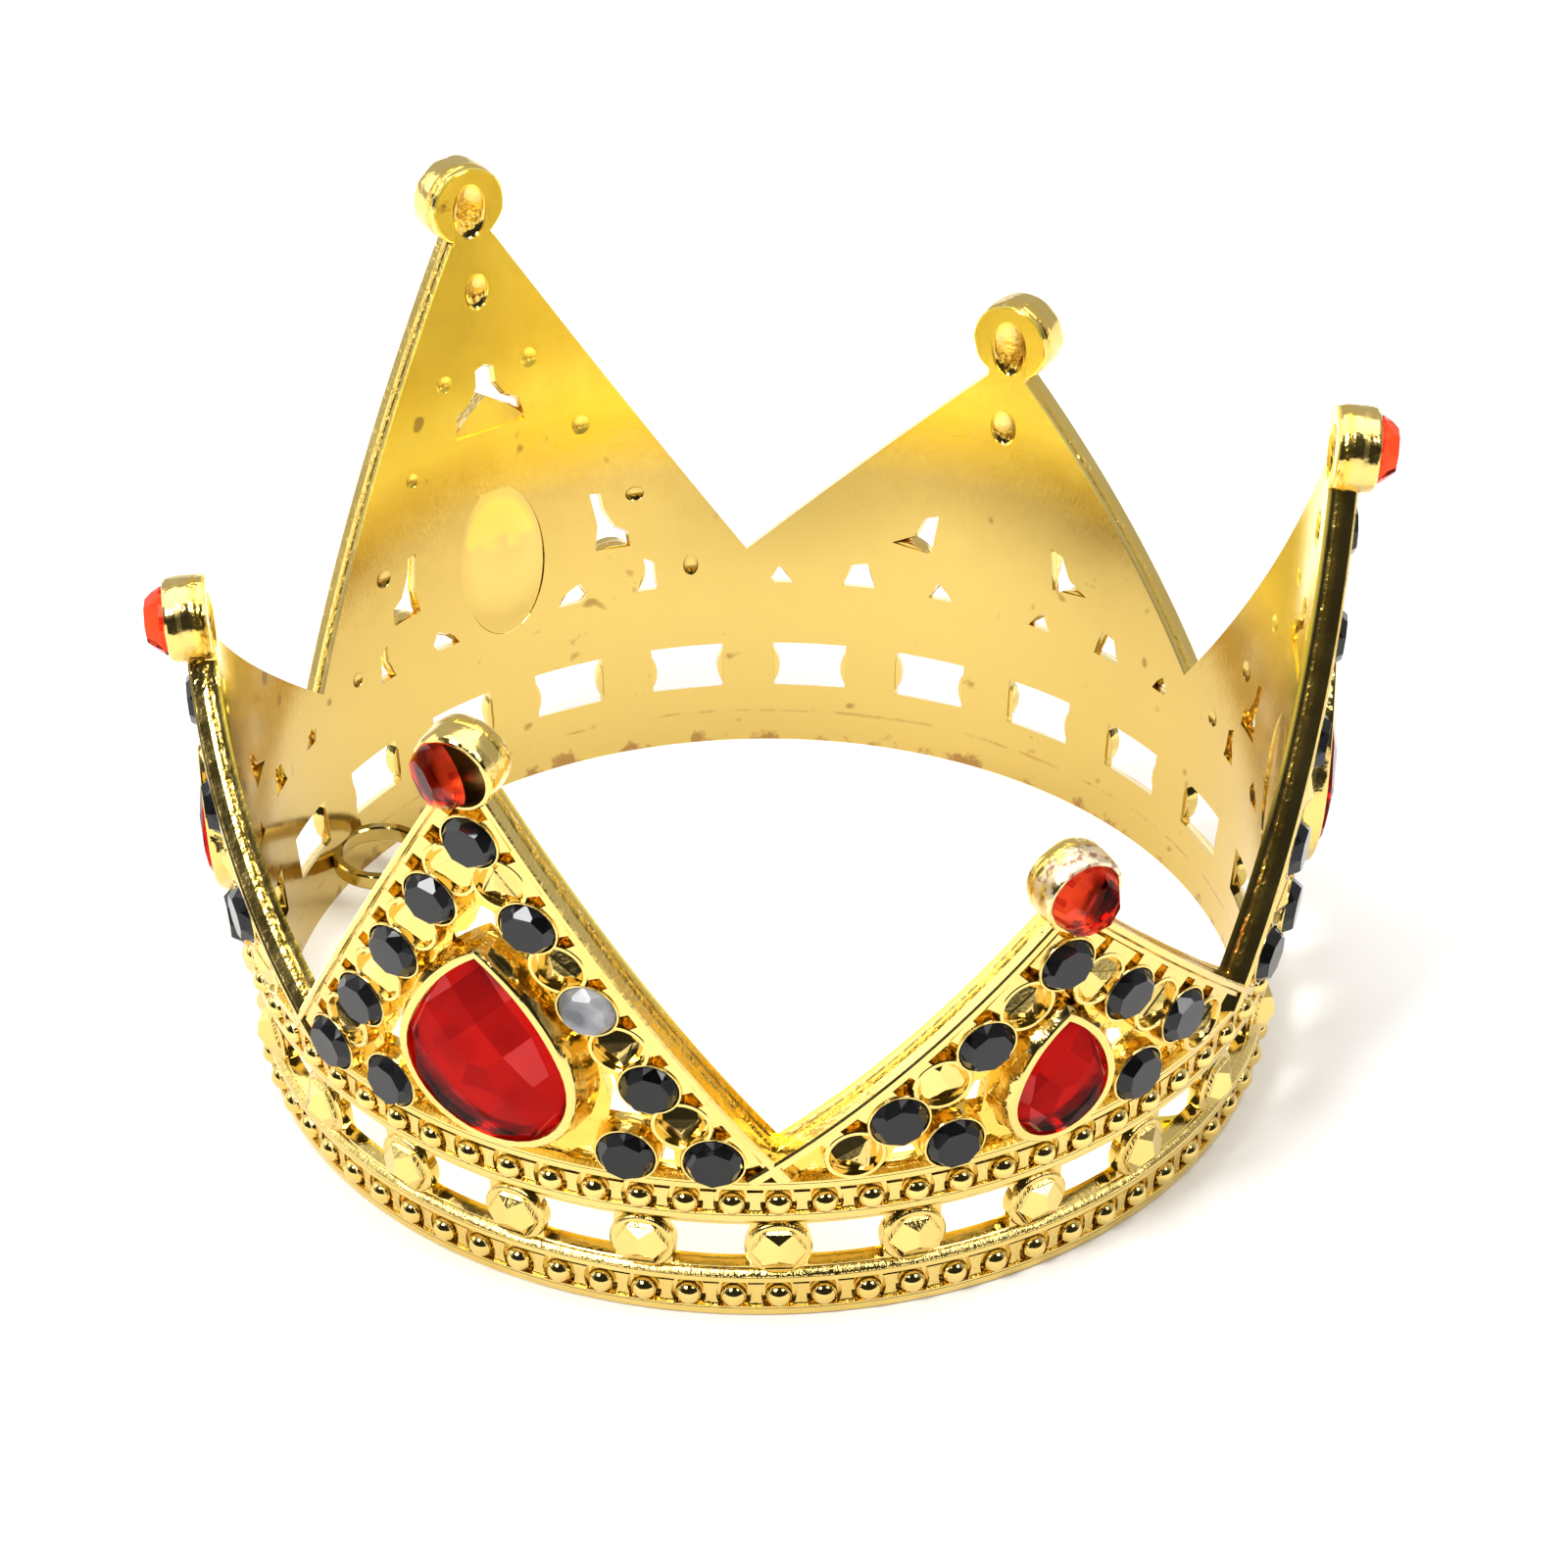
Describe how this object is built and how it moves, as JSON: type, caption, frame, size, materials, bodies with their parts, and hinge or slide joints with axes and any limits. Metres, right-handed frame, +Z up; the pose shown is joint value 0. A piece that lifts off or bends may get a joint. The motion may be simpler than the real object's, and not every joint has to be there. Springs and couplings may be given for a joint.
{
  "type": "crown",
  "caption": "Small flaring costume crown: pierced gold band with alternating tall and short points, set with round and pear-shaped stones.",
  "frame": {"origin": "on the crown's axis, in the plane of the bottom edge", "axes": "+Z up along the crown's axis; +X through the middle of a tall point; short points at 60, 180 and 300 degrees from +X"},
  "size_m": [0.1075, 0.0958, 0.0616],
  "materials": {
    "gold_plate": "electroplated gold over moulded plastic",
    "black_acrylic": "faceted, polished",
    "red_acrylic": "faceted, polished, transparent red over foil"
  },
  "bodies": {
    "root": {"crown_shell": "gold_plate", "right_tall_top_stone": "black_acrylic", "right_tall_left_edge_stones": "black_acrylic", "right_tall_right_edge_stones": "black_acrylic", "right_tall_left_base_stone": "black_acrylic", "right_tall_right_base_stone": "black_acrylic", "right_tall_finial_jewel": "red_acrylic", "right_tall_pear_jewel": "red_acrylic", "back_right_short_top_stone": "black_acrylic", "back_right_short_left_edge_stones": "black_acrylic", "back_right_short_right_edge_stones": "black_acrylic", "back_right_short_left_base_stone": "black_acrylic", "back_right_short_right_base_stone": "black_acrylic", "back_right_short_finial_jewel": "red_acrylic", "back_right_short_pear_jewel": "red_acrylic", "back_left_tall_top_stone": "black_acrylic", "back_left_tall_left_edge_stones": "black_acrylic", "back_left_tall_right_edge_stones": "black_acrylic", "back_left_tall_left_base_stone": "black_acrylic", "back_left_tall_right_base_stone": "black_acrylic", "back_left_tall_finial_jewel": "red_acrylic", "back_left_tall_pear_jewel": "red_acrylic", "left_short_top_stone": "black_acrylic", "left_short_left_edge_stones": "black_acrylic", "left_short_right_edge_stones": "black_acrylic", "left_short_left_base_stone": "black_acrylic", "left_short_right_base_stone": "black_acrylic", "left_short_finial_jewel": "red_acrylic", "left_short_pear_jewel": "red_acrylic", "front_left_tall_top_stone": "black_acrylic", "front_left_tall_left_edge_stones": "black_acrylic", "front_left_tall_right_edge_stones": "black_acrylic", "front_left_tall_left_base_stone": "black_acrylic", "front_left_tall_right_base_stone": "black_acrylic", "front_left_tall_finial_jewel": "red_acrylic", "front_left_tall_pear_jewel": "red_acrylic", "front_right_short_top_stone": "black_acrylic", "front_right_short_left_edge_stones": "black_acrylic", "front_right_short_right_edge_stones": "black_acrylic", "front_right_short_left_base_stone": "black_acrylic", "front_right_short_right_base_stone": "black_acrylic", "front_right_short_finial_jewel": "red_acrylic", "front_right_short_pear_jewel": "red_acrylic"}
  },
  "joints": []
}
